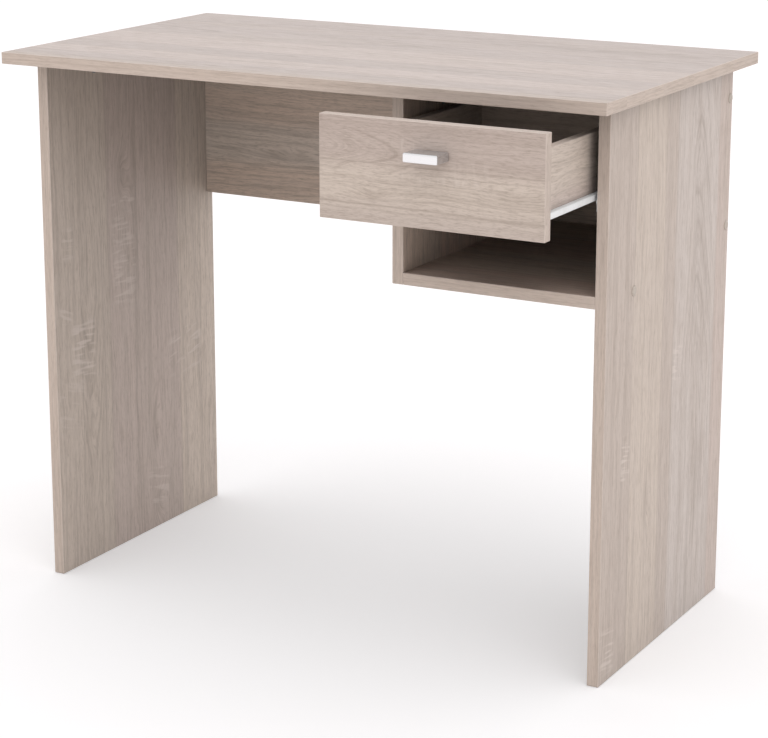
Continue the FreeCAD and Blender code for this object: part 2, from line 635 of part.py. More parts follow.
drawer_section = (
    ("-Sizes.under_flange", "0"),
    ("0", "0"),
    ("0", "Sizes.member_rise"),
    ("Places.running_width", "Sizes.member_rise"),
    ("Places.running_width", "Sizes.member_rise - Sizes.lip_height"),
    ("Places.running_width - Sizes.steel", "Sizes.member_rise - Sizes.lip_height"),
    ("Places.running_width - Sizes.steel", "Sizes.member_rise - Sizes.steel"),
    ("Sizes.steel", "Sizes.member_rise - Sizes.steel"),
    ("Sizes.steel", "-Sizes.steel"),
    ("-Sizes.under_flange", "-Sizes.steel"),
)
cabinet_section = (
    ("Sizes.runner_gap", "Places.track_z - Sizes.steel"),
    ("Sizes.runner_gap", "Places.ceiling_z + Sizes.steel"),
    ("Sizes.runner_gap - Sizes.upper_flange", "Places.ceiling_z + Sizes.steel"),
    ("Sizes.runner_gap - Sizes.upper_flange", "Places.ceiling_z"),
    ("Sizes.runner_gap - Sizes.steel", "Places.ceiling_z"),
    ("Sizes.runner_gap - Sizes.steel", "Places.track_z"),
    ("Sizes.steel + Sizes.flange_side_gap", "Places.track_z"),
    ("Sizes.steel + Sizes.flange_side_gap", "Places.track_z - Sizes.steel"),
)
drawer_member = rolled(
    "drawer_member", drawer_section, (1, 6, 7), (2, 3, 8),
    "Places.runner_length - Sizes.member_inset",
    ("Places.box_right", "Places.front_rear + Sizes.member_inset", "Places.box_bottom"),
)
cabinet_profile = rolled(
    "cabinet_profile", cabinet_section, (4, 5), (0, 1),
    "Places.runner_length",
    ("Places.box_right", "Places.cabinet_front", "Places.box_bottom"),
)
stop_lug = block(
    "stop_lug",
    ("Sizes.stop_width", "Sizes.stop_thickness", "Sizes.stop_height"),
    ("Places.web_x - Sizes.stop_width", "Places.stop_y - Sizes.stop_thickness",
     "Places.roller_z - Sizes.stop_height + Sizes.rivet_radius"),
)
cabinet_member = joined("cabinet_member", [cabinet_profile, stop_lug])
front_clearing = block(
    "front_clearing",
    ("Sizes.runner_gap - Sizes.steel", "Sizes.flange_start", "Sizes.desk_height"),
    ("Places.box_right", "Places.cabinet_front", "0"),
)

# the axle's head is sunk in the roller's hub, and the face is dished between hub and tyre
roller = turned("roller", (
    ("Sizes.rivet_radius + Sizes.running_play", "Sizes.rivet_head_height + Sizes.recess_room"),
    ("Sizes.rivet_head_radius + Sizes.recess_room", "Sizes.rivet_head_height + Sizes.recess_room"),
    ("Sizes.rivet_head_radius + Sizes.recess_room", "0"),
    ("Sizes.roller_hub_radius", "0"),
    ("Sizes.roller_hub_radius", "Sizes.roller_dish"),
    ("Sizes.roller_radius - Sizes.roller_tyre", "Sizes.roller_dish"),
    ("Sizes.roller_radius - Sizes.roller_tyre", "0"),
    ("Sizes.roller_radius - Sizes.roller_bevel", "0"),
    ("Sizes.roller_radius", "Sizes.roller_bevel"),
    ("Sizes.roller_radius", "Sizes.roller_width - Sizes.roller_bevel"),
    ("Sizes.roller_radius - Sizes.roller_bevel", "Sizes.roller_width"),
    ("Sizes.rivet_radius + Sizes.running_play", "Sizes.roller_width"),
))


def axle_rivet(name, web_distance):
    # z is 0 at the roller's face on the head's side, and rises to the far face of the web
    collar_start = "Sizes.roller_width + Sizes.running_play"
    return turned(name, (
        ("0", "Sizes.running_play"),
        ("Sizes.rivet_head_radius", "Sizes.running_play"),
        ("Sizes.rivet_head_radius", "Sizes.running_play + Sizes.rivet_head_height"),
        ("Sizes.rivet_radius", "Sizes.running_play + Sizes.rivet_head_height"),
        ("Sizes.rivet_radius", collar_start),
        ("Sizes.rivet_collar_radius", collar_start),
        ("Sizes.rivet_collar_radius", web_distance),
        ("Sizes.rivet_radius", web_distance),
        ("Sizes.rivet_radius", f"{web_distance} + Sizes.steel"),
        ("0", f"{web_distance} + Sizes.steel"),
    ))


rivet_bore = doc.addObject("Part::Cylinder", "rivet_bore")
bind(rivet_bore, {"Radius": "Sizes.rivet_radius + Sizes.fit", "Height": "Sizes.runner_gap"})
cabinet_rivet = axle_rivet("cabinet_rivet", "(Places.web_x - Places.roller_x)")
drawer_rivet = axle_rivet("drawer_rivet", "(Sizes.roller_width + Sizes.roller_side_gap)")
roller_far_x = "Places.roller_x + Sizes.roller_width"
front_axle = ("Places.roller_x", "Places.front_roller_y", "Places.roller_z")
rear_axle = (roller_far_x, "Places.rear_roller_y", "Places.roller_z")

rollers_and_rivets = (
    ("cabinet", cabinet_rivet, front_axle, turn("+x")),
    ("drawer", drawer_rivet, rear_axle, turn("-x")),
)
for owner, rivet, axle, rotation in rollers_and_rivets:
    right_roller = copy(f"right_{owner}_roller", roller, axle, rotation)
    nodes[f"right_{owner}_roller"] = group(f"right_{owner}_roller_solid", [right_roller])
    nodes[f"left_{owner}_roller"] = mirrored(f"left_{owner}_roller", right_roller)
    right_rivet = copy(f"right_{owner}_rivet", rivet, axle, rotation)
    rivets = [right_rivet, mirrored(f"left_{owner}_rivet", right_rivet)]
    nodes[f"{owner}_roller_rivets"] = group(f"{owner}_roller_rivets", rivets)
    cutters[f"{owner}_member"] = [copy(f"{owner}_rivet_hole", rivet_bore, axle, rotation)]
cutters["cabinet_member"].append(front_clearing)


def paired(node, piece, bore, spots):
    # fasteners of the right-hand side, with their mirrored partners
    members = []
    for number, (spot, rotation, pieces) in enumerate(spots, start=1):
        right = copy(f"right_{node}_{number}", piece, spot, rotation)
        members += [right, mirrored(f"left_{node}_{number}", right)]
        hole = copy(f"right_{node}_hole_{number}", bore, spot, rotation)
        left_hole = mirrored(f"left_{node}_hole_{number}", hole)
        for right_piece, left_piece in pieces:
            cutters.setdefault(right_piece, []).append(hole)
            if left_piece:
                cutters.setdefault(left_piece, []).append(left_hole)
    nodes[node] = group(node, members)


cabinet_screw, cabinet_screw_bore = small_screw_and_bore(
    "cabinet_screw", "Sizes.steel + Sizes.cabinet_screw_hold")
cabinet_screw_spots = []
for along in (
    "Places.cabinet_front + Sizes.cabinet_screw_inset",
    "Places.cabinet_front + Places.runner_length / 2",
    "Places.cabinet_front + Places.runner_length - Sizes.cabinet_screw_inset",
):
    passed = (("cabinet_member", None), ("right_side_panel", "compartment_divider"))
    cabinet_screw_spots.append((("Places.web_x", along, "Places.roller_z"), turn("+x"), passed))
paired("cabinet_runner_screws", cabinet_screw, cabinet_screw_bore, cabinet_screw_spots)

member_screw, member_screw_bore = small_screw_and_bore(
    "member_screw", "Sizes.steel + Sizes.member_screw_hold")
member_screw_spots = []
for along in ("Places.front_rear + Sizes.member_screw_inset", "Places.box_rear - Sizes.member_screw_inset"):
    spot = ("Places.box_right_mid", along, "Places.box_bottom - Sizes.steel")
    member_screw_spots.append((spot, turn("+z"), (("drawer_member", None), ("drawer_side", None))))
paired("drawer_runner_screws", member_screw, member_screw_bore, member_screw_spots)

nodes["right_cabinet_runner"] = cut("right_cabinet_runner", cabinet_member, cutters["cabinet_member"])
nodes["left_cabinet_runner"] = mirrored("left_cabinet_runner", nodes["right_cabinet_runner"])
nodes["right_drawer_runner"] = cut("right_drawer_runner", drawer_member, cutters["drawer_member"])
nodes["left_drawer_runner"] = mirrored("left_drawer_runner", nodes["right_drawer_runner"])


# Drawer fittings between front, sides and back

box_cam_length = "(Sizes.box_board - Sizes.box_cam_cover)"
box_lock = cam_lock("box_cam_lock", "Sizes.box_cam_radius", box_cam_length, "Sizes.box_board / 2",
                    "Sizes.box_bolt_neck_radius", "Sizes.box_bolt_head_radius")
box_lock_bore = cam_lock_bore("box_cam_lock_bore", "Sizes.box_cam_radius", box_cam_length)
box_bolt = cam_bolt("box_cam_bolt", "Sizes.front_thickness", "Sizes.box_cam_distance", "Sizes.box_cam_radius",
                    "Sizes.box_bolt_shank_radius", "Sizes.box_bolt_neck_radius", "Sizes.box_bolt_head_radius")
box_bolt_bore = cam_bolt_bore("box_cam_bolt_bore", "Sizes.front_thickness", "Sizes.box_cam_distance",
                              "Sizes.box_bolt_shank_radius")
box_peg, box_peg_bore = dowel_and_bore("box_dowel", "Sizes.box_dowel_radius", "Sizes.front_thickness",
                                       "Sizes.box_dowel_hold")
side_only = (("drawer_side", None),)
front_and_side = (("drawer_front", "drawer_front"), ("drawer_side", None))
box_cam_z = "Places.box_bottom + Sizes.box_cam_rise"
lock_spot = ("Places.box_right_in", "Places.front_rear + Sizes.box_cam_distance", box_cam_z)
paired("drawer_cam_locks", box_lock, box_lock_bore, [(lock_spot, turn("+x", "-y"), side_only)])
bolt_spot = ("Places.box_right_mid", "Places.front_rear", box_cam_z)
paired("drawer_cam_bolts", box_bolt, box_bolt_bore, [(bolt_spot, turn("+y"), front_and_side)])
box_peg_spots = []
for height in ("Places.box_bottom + Sizes.box_dowel_rise", "Places.box_top - Sizes.box_dowel_drop"):
    spot = ("Places.box_right_mid", "Places.front_rear", height)
    box_peg_spots.append((spot, turn("+y"), front_and_side))
paired("drawer_dowels", box_peg, box_peg_bore, box_peg_spots)


def back_screw(name, room, over):
    return turned(name, (
        ("0", "0"),
        (f"Sizes.back_screw_head_radius + {room}", "0"),
        (f"Sizes.back_screw_radius + {room}", "Sizes.back_screw_head_length"),
        (f"Sizes.back_screw_radius + {room}", f"Sizes.box_board + Sizes.back_screw_hold + {over}"),
        ("0", f"Sizes.box_board + Sizes.back_screw_hold + {over}"),
    ))


side_and_back = (("drawer_side", None), ("drawer_back", "drawer_back"))
back_screw_spots = []
for height in (
    "Places.back_bottom + Sizes.back_screw_inset",
    "Places.back_bottom + Places.back_height - Sizes.back_screw_inset",
):
    back_screw_spots.append((("Places.box_right", "Places.back_mid", height), turn("-x"), side_and_back))
rear_screw = cut("back_screw", back_screw("back_screw_turned", "0", "0"), drive_recess("back_screw", "0"))
rear_screw_bore = back_screw("back_screw_bore", "Sizes.fit", "Sizes.end_room")
paired("drawer_back_screws", rear_screw, rear_screw_bore, back_screw_spots)

bottom_screw, bottom_screw_bore = small_screw_and_bore(
    "bottom_screw", "Sizes.bottom_thickness + Sizes.bottom_screw_hold")
bottom_screw_spots = []
for across in (
    "Places.box_left_in + Sizes.bottom_screw_inset",
    "Places.opening_mid",
    "Places.box_right_in - Sizes.bottom_screw_inset",
):
    spot = (across, "Places.back_mid", "Places.bottom_z")
    bottom_screw_spots.append((spot, turn("+z"), ("drawer_bottom", "drawer_back")))
fasten("drawer_bottom_screws", bottom_screw, bottom_screw_bore, bottom_screw_spots)

handle_screw_length = "Sizes.front_thickness + Sizes.handle_thread"
handle_screw = pan_screw("handle_screw", "Sizes.handle_screw_head_radius", "Sizes.handle_screw_head_height",
                         "Sizes.handle_screw_head_bevel", "Sizes.handle_screw_radius", handle_screw_length)
handle_screw_bore = pan_bore("handle_screw_bore", "Sizes.handle_screw_radius", handle_screw_length)
handle_screw_spots = []
for across in ("Places.handle_mid - Sizes.handle_pitch / 2", "Places.handle_mid + Sizes.handle_pitch / 2"):
    spot = (across, "Places.front_rear", "Places.handle_z")
    handle_screw_spots.append((spot, turn("-y"), ("drawer_front", "drawer_handle")))
fasten("handle_screws", handle_screw, handle_screw_bore, handle_screw_spots)
cutters["drawer_handle"].append(block(
    "finger_groove",
    ("Places.grip_width", "Places.grip_reach", "Sizes.grip_height"),
    ("Places.handle_mid - Places.grip_width / 2", "Places.handle_front + Sizes.grip_lip", "Places.handle_bottom"),
))

groove_height = "Sizes.bottom_thickness + 2 * Sizes.groove_play"
groove_z = "Places.bottom_z - Sizes.groove_play"
cutters["drawer_side"].append(block(
    "side_groove",
    ("Sizes.groove_depth", "Places.runner_length", groove_height),
    ("Places.box_right_in", "Places.front_rear", groove_z),
))
cutters["drawer_front"].append(block(
    "front_groove",
    ("Places.inside_width + 2 * Sizes.groove_depth", "Sizes.groove_depth", groove_height),
    ("Places.box_left_in - Sizes.groove_depth", "Places.front_rear - Sizes.groove_depth", groove_z),
))


# Boards, each with the holes of what passes through it

boards = {
    "top_panel": board(
        "top_panel",
        ("Sizes.top_width", "Sizes.top_depth", "Sizes.board"),
        ("-Sizes.top_width / 2", "Places.front_edge - Sizes.front_overhang", "Places.under_top"),
    ),
    "left_side_panel": board(
        "left_side_panel",
        ("Sizes.board", "Places.side_depth", "Places.under_top"),
        ("-Places.right_out", "Places.front_edge", "0"),
    ),
    "right_side_panel": board(
        "right_side_panel",
        ("Sizes.board", "Places.side_depth", "Places.under_top"),
        ("Places.right_in", "Places.front_edge", "0"),
    ),
    "modesty_panel": board(
        "modesty_panel",
        ("2 * Places.right_in", "Sizes.board", "Sizes.apron_height"),
        ("-Places.right_in", "Places.modesty_front", "Places.apron_bottom"),
    ),
    "compartment_divider": board(
        "compartment_divider",
        ("Sizes.board", "Places.hanging_depth", "Sizes.apron_height"),
        ("Places.divider_out", "Places.front_edge", "Places.apron_bottom"),
    ),
    "compartment_shelf": board(
        "compartment_shelf",
        ("Places.opening_width", "Places.hanging_depth", "Sizes.board"),
        ("Places.divider_in", "Places.front_edge", "Places.apron_bottom"),
    ),
    "drawer_front": board(
        "drawer_front",
        ("Sizes.compartment_width", "Sizes.front_thickness", "Sizes.front_height"),
        ("Places.divider_out", "Places.front_face", "Places.front_bottom"),
    ),
    "drawer_side": board(
        "drawer_side",
        ("Sizes.box_board", "Places.runner_length", "Places.box_height"),
        ("Places.box_right_in", "Places.front_rear", "Places.box_bottom"),
    ),
    "drawer_back": board(
        "drawer_back",
        ("Places.inside_width", "Sizes.box_board", "Places.back_height"),
        ("Places.box_left_in", "Places.box_rear - Sizes.box_board", "Places.back_bottom"),
    ),
    "drawer_bottom": board(
        "drawer_bottom",
        ("Places.inside_width + 2 * Places.bottom_reach", "Places.runner_length + Places.bottom_reach",
         "Sizes.bottom_thickness"),
        ("Places.box_left_in - Places.bottom_reach", "Places.front_rear - Places.bottom_reach",
         "Places.bottom_z"),
        SQUARE,
    ),
    "drawer_handle": board(
        "drawer_handle",
        ("Sizes.handle_width", "Sizes.handle_depth", "Sizes.handle_height"),
        ("Places.handle_mid - Sizes.handle_width / 2", "Places.handle_front", "Places.handle_bottom"),
        ROUNDED,
    ),
}
for name, blank in boards.items():
    nodes[name] = cut(name, blank, cutters[name])
nodes["drawer_right_side"] = nodes.pop("drawer_side")
nodes["drawer_left_side"] = mirrored("drawer_left_side", nodes["drawer_right_side"])

doc.recompute()
for item in doc.Objects:
    if "Invalid" in item.State or "Error" in item.State:
        raise RuntimeError(f"{item.Name} failed to build: {item.State}")
for name, item in nodes.items():
    item.Label = name
    shape = item.Shape
    if shape.isNull() or not shape.isValid() or not shape.Solids:
        raise RuntimeError(f"{name} has no valid solid")

os.makedirs("parts", exist_ok=True)
for name, item in nodes.items():
    item.Shape.exportStep(f"parts/{name}.step")
    print(name, len(item.Shape.Solids), "solids", round(item.Shape.Volume), "mm3")
print(len(nodes), "nodes")
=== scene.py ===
import math
import bpy
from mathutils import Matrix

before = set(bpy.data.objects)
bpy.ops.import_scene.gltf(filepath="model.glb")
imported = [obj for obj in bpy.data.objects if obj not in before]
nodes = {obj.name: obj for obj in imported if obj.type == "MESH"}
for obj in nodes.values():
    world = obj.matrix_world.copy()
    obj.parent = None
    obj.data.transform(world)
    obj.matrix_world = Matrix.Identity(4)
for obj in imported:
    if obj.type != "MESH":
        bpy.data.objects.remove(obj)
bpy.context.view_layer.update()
scene = bpy.context.scene
scene.view_settings.view_transform = "Standard"
scene.cycles.diffuse_bounces = 1      # keeps the compartment as dark as a real one
print("frame loaded with", len(nodes), "nodes")


# small tools for shader trees

def newMaterial(name):
    material = bpy.data.materials.new(name)
    material.use_nodes = True
    tree = material.node_tree
    tree.nodes.clear()
    shader = tree.nodes.new("ShaderNodeBsdfPrincipled")
    output = tree.nodes.new("ShaderNodeOutputMaterial")
    tree.links.new(shader.outputs["BSDF"], output.inputs["Surface"])
    return material, tree, shader


def put(tree, socket, value):
    # a link where the value comes from a node, a plain setting where it doesn't
    if isinstance(value, bpy.types.NodeSocket):
        tree.links.new(value, socket)
    else:
        socket.default_value = value


def calc(tree, operation, *values):
    node = tree.nodes.new("ShaderNodeMath")
    node.operation = operation
    for socket, value in zip(node.inputs, values):
        put(tree, socket, value)
    return node.outputs[0]


def spread(tree, value, low, high, toLow=0.0, toHigh=1.0, smooth=True):
    node = tree.nodes.new("ShaderNodeMapRange")
    node.interpolation_type = "SMOOTHSTEP" if smooth else "LINEAR"
    for socket, number in zip(node.inputs, (value, low, high, toLow, toHigh)):
        put(tree, socket, number)
    return node.outputs[0]


def point(tree, x, y, z):
    node = tree.nodes.new("ShaderNodeCombineXYZ")
    for socket, value in zip(node.inputs, (x, y, z)):
        put(tree, socket, value)
    return node.outputs[0]


def noise(tree, vector, detail=2.0, roughness=0.5, scale=1.0):
    node = tree.nodes.new("ShaderNodeTexNoise")
    put(tree, node.inputs["Vector"], vector)
    node.inputs["Scale"].default_value = scale
    node.inputs["Detail"].default_value = detail
    node.inputs["Roughness"].default_value = roughness
    return node.outputs[0]


def blendColour(tree, amount, first, second):
    node = tree.nodes.new("ShaderNodeMix")
    node.data_type = "RGBA"
    put(tree, node.inputs[0], amount)
    put(tree, node.inputs[6], first)      # the colour sockets come after the number and vector ones
    put(tree, node.inputs[7], second)
    return node.outputs[2]


def bumped(tree, shader, height, strength, distance):
    node = tree.nodes.new("ShaderNodeBump")
    node.inputs["Strength"].default_value = strength
    node.inputs["Distance"].default_value = distance
    put(tree, node.inputs["Height"], height)
    tree.links.new(node.outputs[0], shader.inputs["Normal"])


def placeAndFacing(tree):
    # object coordinates, whole and split, and the split normal
    coords = tree.nodes.new("ShaderNodeTexCoord")
    place = tree.nodes.new("ShaderNodeSeparateXYZ")
    facing = tree.nodes.new("ShaderNodeSeparateXYZ")
    tree.links.new(coords.outputs["Object"], place.inputs[0])
    tree.links.new(coords.outputs["Normal"], facing.inputs[0])
    return coords.outputs["Object"], place.outputs, facing.outputs


def linear(red, green, blue):
    # screen colours, 0 to 255, as the shader wants them
    def one(value):
        part = value / 255
        return part / 12.92 if part <= 0.04045 else ((part + 0.055) / 1.055) ** 2.4
    return (one(red), one(green), one(blue), 1.0)


def dress(names, material):
    for name in names:
        slots = nodes[name].data.materials
        slots.clear()
        slots.append(material)


# faced boards: grey-beige oak print laid in staves, with arched figure, knots and rows of saw marks

boardLook = {
    # tones
    "sand": linear(217, 202, 190),
    "mist": linear(214, 199, 192),
    "rose": linear(213, 196, 187),
    "dusk": linear(207, 192, 182),
    "tan": linear(202, 185, 176),
    # the next two: warm, pale tones used only on faces in deep shade, painted warm bounced light rather
    # than the print's own colour
    "paintedWarmShade": linear(229, 207, 191),
    "paintedDeepWarmShade": linear(226, 199, 184),
    "frost": linear(216, 204, 197),
    "cream": linear(227, 211, 198),
    "smoke": linear(204, 190, 184),
    "edge": linear(213, 196, 184),
    "fibre": linear(146, 129, 116),
    "rubbed": linear(230, 217, 209),
    # size of each layer of the print in metres, with the grain and across it
    "stray": (0.2, 0.1),          # of the joints between staves
    "bend": (0.42, 0.11),
    "wave": (0.05, 0.02),
    "ring": (0.36, 0.0052),
    "arch": (1.4, 0.0045),
    "pore": (0.010, 0.0013),
    "blush": (0.25, 0.024),
    "fibreWidth": 0.0023,
    "jointHalf": 0.0011,          # half the width of a joint
    "rungPitch": 0.0062,
    "rungBreaks": 26.0,           # per metre
    "rubbedPatches": 60.0,        # per metre
    # how far lines are pushed aside, in metres
    "strayReach": 0.006,
    "bendReach": 0.034,
    "waveReach": 0.0052,
    "edgeBend": 0.15,             # share of bend and wave on the edge bands
    "archStart": 0.0757,
    # the part of each noise that shows
    "ringRange": (0.42, 0.70),
    "fibreRange": (0.44, 0.72),
    "poreRange": (0.50, 0.74),
    "blushRange": (0.42, 0.68),
    "rungRange": (0.48, 0.64),
    "knotRange": (0.35, 1.0),
    "knotStreaks": (0.35, 0.6),
    "rubbedRange": (0.35, 0.7),
    "roughRange": (0.35, 0.7),
    # how strongly it shows
    "ringDepth": 0.24,
    "fibreDepth": 0.26,
    "poreDepth": 0.24,
    "archDepth": 1.7,             # darker lines where the figure arches
    "blushDepth": 0.30,
    "jointDepth": 0.2,
    "streakLeast": 0.6,
    "rubbedDepth": (0.25, 0.6),
    "roughness": (0.44, 0.6),
    "gloss": 0.4,
    "bump": 0.4,
    "bumpHeight": 0.0006,
    # soft ends, as shares of half a size
    "jointSoft": 0.6,
    "archSoft": 0.35,
    "rungSoft": (0.25, 0.3),
    # steps to another run of the same print
    "seedStep": 7.3,
    "layerStep": 3.7,
    "staveStep": 11.7,
    "rearStep": 41.0,
    "rungStep": 5.1,
    "bandStart": 3.1,
    "bandStretch": 1.6,
    "squareTo": 0.85,             # a face that is this square to an axis counts as flat
}

# axes: grain, width and thickness; soft: how far one stave runs into the next
# depth: contrast of the grain; fibre: length of its short dark lines; fine: narrower lines
# staves: start across the board, tone; farTones: on the face that looks to the rear, right or top. The
# warmest, palest tones on faces inside the kneehole and the compartment are painted warm shade.
# arches: along, across, half length, half width, steepness, crown, skew
# knots and dark streaks: along, across, half length, half width, lift, dark
# rungs: along, across, half length, half width, slant, depth
boards = {
    "top_panel": {
        "axes": "xyz", "seed": 1.0, "soft": 0.008, "depth": 0.9, "fibre": 0.034, "fine": 1.0,
        "staves": [(-0.18, "dusk"), (-0.155, "smoke"), (-0.115, "mist"), (-0.06, "smoke"),
                   (0.0, "mist"), (0.1, "smoke")],
        "arches": [(-0.15, 0.15, 0.26, 0.036, 11.0, 0.012, 0.2)],
        "knots": [(0.25, 0.235, 0.26, 0.03, 0.005, 0.2), (0.28, 0.045, 0.16, 0.014, 0.0, 0.1),
                  (0.13, -0.127, 0.035, 0.008, 0.004, 0.2), (0.29, -0.132, 0.04, 0.01, 0.004, 0.22),
                  (0.385, -0.13, 0.035, 0.008, 0.004, 0.2), (-0.065, -0.13, 0.05, 0.008, 0.004, 0.2),
                  (0.17, -0.03, 0.12, 0.012, 0.004, 0.14)],
        "rungs": [],
    },
    "left_side_panel": {
        "axes": "zyx", "seed": 2.0, "soft": 0.005, "depth": 1.05, "fibre": 0.034, "fine": 1.0,
        "staves": [(-0.13, "sand"), (-0.059, "sand"), (0.012, "rose"), (0.085, "rose"),
                   (0.19, "cream"), (0.25, "cream")],
        "arches": [(0.27, -0.042, 0.13, 0.028, -8.0, 0.01, 0.0)],
        "knots": [(0.562, 0.048, 0.035, 0.016, 0.024, 0.3), (0.16, 0.12, 0.06, 0.012, 0.012, 0.3),
                  (0.21, -0.04, 0.04, 0.006, 0.010, 0.3), (0.04, 0.125, 0.03, 0.014, 0.018, 0.3),
                  (0.3, -0.048, 0.6, 0.013, 0.0, 0.11), (0.35, 0.077, 0.6, 0.011, 0.0, 0.16)],
        "rungs": [(0.437, 0.05, 0.068, 0.026, 0.05, 0.42), (0.53, 0.052, 0.012, 0.028, 0.1, 0.5),
                  (0.325, -0.055, 0.038, 0.026, 0.1, 0.6), (0.484, -0.086, 0.022, 0.013, 0.1, 0.45),
                  (0.381, -0.095, 0.012, 0.016, 0.35, 0.45), (0.265, 0.205, 0.034, 0.04, -0.15, 0.6),
                  (0.281, -0.048, 0.008, 0.02, 0.1, 0.4), (0.245, -0.085, 0.04, 0.03, 0.35, 0.3),
                  (0.065, 0.125, 0.03, 0.026, 0.3, 0.4)],
    },
    "right_side_panel": {
        "axes": "zyx", "seed": 3.0, "soft": 0.005, "depth": 0.9, "fibre": 0.034, "fine": 1.0,
        "staves": [(-0.13, "dusk"), (-0.035, "sand"), (0.062, "dusk"), (0.1, "frost"), (0.245, "rose")],
        "arches": [(0.66, 0.178, 0.32, 0.056, 7.0, 0.012, 0.35)],
        "knots": [(0.21, 0.02, 0.05, 0.01, 0.010, 0.3), (0.2, 0.195, 0.13, 0.034, 0.0, 0.22),
                  (0.45, 0.195, 0.36, 0.034, 0.0, 0.14), (0.4, 0.172, 0.6, 0.012, 0.0, 0.16),
                  (0.05, 0.17, 0.09, 0.01, 0.0, 0.24), (0.62, 0.168, 0.05, 0.014, 0.012, 0.2)],
        "rungs": [(0.375, 0.117, 0.022, 0.016, 0.2, 0.5), (0.287, -0.05, 0.03, 0.014, 0.2, 0.5),
                  (0.04, -0.095, 0.03, 0.02, 0.1, 0.5)],
    },
    "modesty_panel": {
        "axes": "xzy", "seed": 4.0, "soft": 0.012, "depth": 1.25, "fibre": 0.034, "fine": 1.0,
        # the warmest tones on the front face, in the kneehole's shade, are painted warm shade
        "staves": [(0.49, "paintedWarmShade"), (0.55, "cream"), (0.612, "paintedWarmShade"), (0.68, "rose")],
        "farTones": ["sand", "mist", "sand", "rose"],
        "arches": [],
        "knots": [(-0.27, 0.565, 0.07, 0.01, 0.006, 0.3)],
        "rungs": [(0.02, 0.58, 0.04, 0.016, 0.1, 0.4)],
    },
    "compartment_divider": {
        "axes": "zyx", "seed": 5.0, "soft": 0.006, "depth": 1.0, "fibre": 0.034, "fine": 1.0,
        "staves": [(-0.13, "sand"), (-0.02, "rose"), (0.09, "sand"), (0.18, "rose")],
        # the face toward the compartment, in shade, carries painted warm shade tones
        "farTones": ["paintedWarmShade", "paintedDeepWarmShade", "paintedWarmShade", "paintedDeepWarmShade"],
        "arches": [(0.64, 0.03, 0.1, 0.04, 9.0, 0.012, -0.2)],
        "knots": [],
        "rungs": [(0.6, -0.05, 0.04, 0.015, 0.1, 0.5)],
    },
    "compartment_shelf": {
        "axes": "xyz", "seed": 6.0, "soft": 0.01, "depth": 0.9, "fibre": 0.034, "fine": 1.0,
        "staves": [(-0.13, "rose"), (-0.05, "sand"), (0.06, "rose"), (0.17, "sand")],
        # the top face, in the compartment's shade, carries painted warm shade tones
        "farTones": ["paintedDeepWarmShade", "paintedWarmShade", "paintedDeepWarmShade", "paintedWarmShade"],
        "arches": [],
        "knots": [(0.3, 0.0, 0.06, 0.012, 0.012, 0.3)],
        "rungs": [],
    },
    "drawer_front": {
        "axes": "xzy", "seed": 7.0, "soft": 0.016, "depth": 1.2, "fibre": 0.016, "fine": 0.7,
        "staves": [(0.61, "dusk"), (0.64, "sand"), (0.692, "tan")],
        "arches": [(0.2, 0.706, 0.06, 0.022, 3.2, 0.006, 0.0)],
        "knots": [(0.2, 0.652, 0.035, 0.009, 0.006, 0.2), (0.4, 0.664, 0.06, 0.01, 0.006, 0.2),
                  (0.23, 0.703, 0.03, 0.01, 0.004, 0.16)],
        "rungs": [(0.245, 0.714, 0.014, 0.013, 0.0, 0.26), (0.29, 0.679, 0.05, 0.004, 0.0, 0.22),
                  (0.335, 0.69, 0.024, 0.014, 0.1, 0.14)],
    },
    "drawer_left_side": {
        "axes": "yzx", "seed": 8.0, "soft": 0.01, "depth": 1.0, "fibre": 0.024, "fine": 1.0,
        "staves": [(0.62, "rose"), (0.66, "sand")],
        "arches": [],
        "knots": [(-0.1, 0.67, 0.06, 0.01, 0.01, 0.3)],
        "rungs": [],
    },
    "drawer_right_side": {
        "axes": "yzx", "seed": 9.0, "soft": 0.01, "depth": 1.0, "fibre": 0.024, "fine": 1.0,
        "staves": [(0.62, "rose"), (0.66, "sand")],
        "arches": [],
        "knots": [(-0.05, 0.68, 0.06, 0.01, 0.01, 0.3)],
        "rungs": [],
    },
    "drawer_back": {
        "axes": "xzy", "seed": 10.0, "soft": 0.01, "depth": 1.0, "fibre": 0.024, "fine": 1.0,
        "staves": [(0.62, "rose"), (0.68, "sand")],
        "arches": [],
        "knots": [],
        "rungs": [],
    },
    "drawer_bottom": {
        "axes": "xyz", "seed": 11.0, "soft": 0.01, "depth": 0.8, "fibre": 0.034, "fine": 1.0,
        "staves": [(-0.3, "sand"), (-0.2, "rose"), (-0.1, "mist"), (0.0, "sand")],
        "arches": [(0.28, -0.15, 0.08, 0.04, 9.0, 0.012, 0.2)],
        "knots": [],
        "rungs": [],
    },
}


